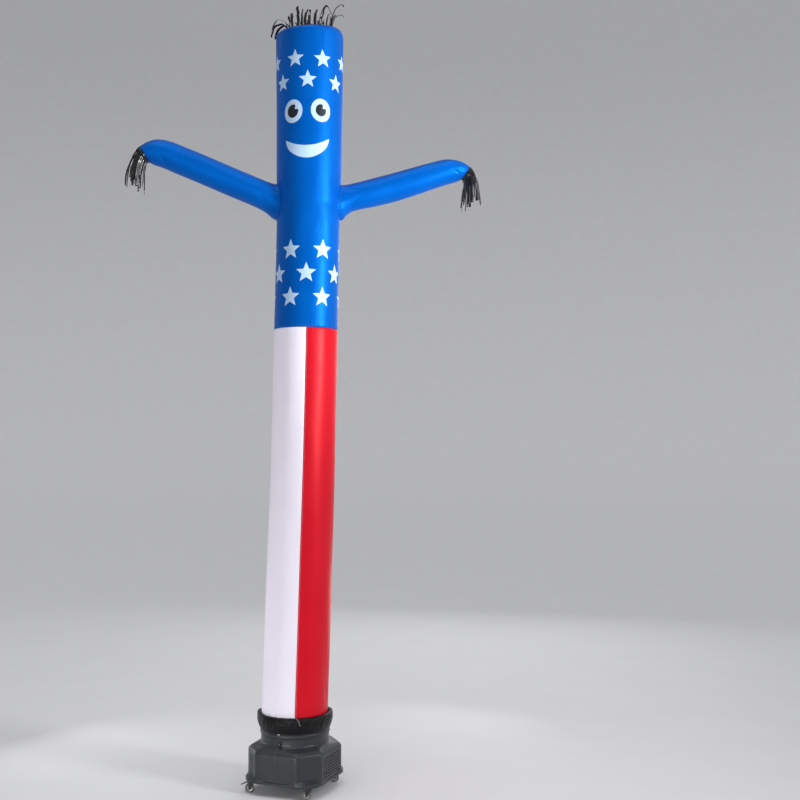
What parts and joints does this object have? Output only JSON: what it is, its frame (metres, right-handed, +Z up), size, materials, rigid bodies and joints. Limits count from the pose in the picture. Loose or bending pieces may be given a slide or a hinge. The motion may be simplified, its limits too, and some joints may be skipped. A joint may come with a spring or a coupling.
{
  "type": "inflatable air dancer on its floor blower",
  "caption": "Tall inflated nylon tube figure with a printed face, stars and stripes, open-ended arms and streamer fringes, blown up by the caster-mounted floor fan it is tied to.",
  "frame": {"origin": "on the floor, under the middle of the whole outline; the blower's upright axis is 43 mm to its -X side", "axes": "+Z up, the face looks along -Y, +X to the right of someone facing it"},
  "size_m": [1.6344, 0.4276, 3.5163],
  "materials": {
    "blue_nylon": "coated rip-proof nylon, satin",
    "white_nylon": "coated nylon, satin",
    "red_nylon": "coated nylon, satin",
    "black_nylon": "coated nylon, satin",
    "black_foil": "glossy streamer cloth",
    "moulded_grey": "fine moulded grain",
    "gloss_black": "polished",
    "black_steel": "powder coat",
    "bright_steel": "polished",
    "grey_tyre": "smooth rubber",
    "pale_clip": "plain"
  },
  "bodies": {
    "dancer_on_blower": {"upper_sleeve": "blue_nylon", "arm_sleeve_left": "blue_nylon", "arm_sleeve_right": "blue_nylon", "leg_panel_white": "white_nylon", "leg_panel_red": "red_nylon", "base_collar": "black_nylon", "collar_tie": "black_nylon", "hair_fringe": "black_foil", "tassel_left": "black_foil", "tassel_right": "black_foil", "housing_left": "moulded_grey", "housing_right": "moulded_grey", "base_tray": "moulded_grey", "outlet_band": "gloss_black", "band_clip_lower": "pale_clip", "neck_knob": "gloss_black", "outlet_guard": "black_steel", "caster_plate_front": "black_steel", "caster_plate_right": "black_steel", "caster_plate_back": "black_steel", "caster_plate_left": "black_steel"},
    "swivel_front": {"caster_fork_front": "black_steel"},
    "wheel_front": {"caster_tyre_front": "grey_tyre", "caster_hub_front": "bright_steel"},
    "swivel_right": {"caster_fork_right": "black_steel"},
    "wheel_right": {"caster_tyre_right": "grey_tyre", "caster_hub_right": "bright_steel"},
    "swivel_back": {"caster_fork_back": "black_steel"},
    "wheel_back": {"caster_tyre_back": "grey_tyre", "caster_hub_back": "bright_steel"},
    "swivel_left": {"caster_fork_left": "black_steel"},
    "wheel_left": {"caster_tyre_left": "grey_tyre", "caster_hub_left": "bright_steel"},
    "brake_pedal": {"brake_pedal": "black_steel"}
  },
  "joints": [
    {"name": "swivel_front", "type": "hinge", "parent": "dancer_on_blower", "child": "swivel_front", "pos_m": [0.01726, -0.18546, 0.048], "axis": [0, 0, 1], "continuous": true},
    {"name": "wheel_spin_front", "type": "hinge", "parent": "swivel_front", "child": "wheel_front", "pos_m": [0.00726, -0.18546, 0.02025], "axis": [0, 1, 0], "continuous": true},
    {"name": "swivel_right", "type": "hinge", "parent": "dancer_on_blower", "child": "swivel_right", "pos_m": [0.14246, 0.06026, 0.048], "axis": [0, 0, 1], "continuous": true},
    {"name": "wheel_spin_right", "type": "hinge", "parent": "swivel_right", "child": "wheel_right", "pos_m": [0.13246, 0.06026, 0.02025], "axis": [0, 1, 0], "continuous": true},
    {"name": "swivel_back", "type": "hinge", "parent": "dancer_on_blower", "child": "swivel_back", "pos_m": [-0.10326, 0.18546, 0.048], "axis": [0, 0, 1], "continuous": true},
    {"name": "wheel_spin_back", "type": "hinge", "parent": "swivel_back", "child": "wheel_back", "pos_m": [-0.11326, 0.18546, 0.02025], "axis": [0, 1, 0], "continuous": true},
    {"name": "swivel_left", "type": "hinge", "parent": "dancer_on_blower", "child": "swivel_left", "pos_m": [-0.22846, -0.06026, 0.048], "axis": [0, 0, 1], "continuous": true},
    {"name": "wheel_spin_left", "type": "hinge", "parent": "swivel_left", "child": "wheel_left", "pos_m": [-0.23846, -0.06026, 0.02025], "axis": [0, 1, 0], "continuous": true},
    {"name": "brake_press", "type": "hinge", "parent": "swivel_left", "child": "brake_pedal", "pos_m": [-0.22846, -0.06026, 0.0445], "axis": [0, -1, 0], "range_deg": [0, 10]}
  ]
}
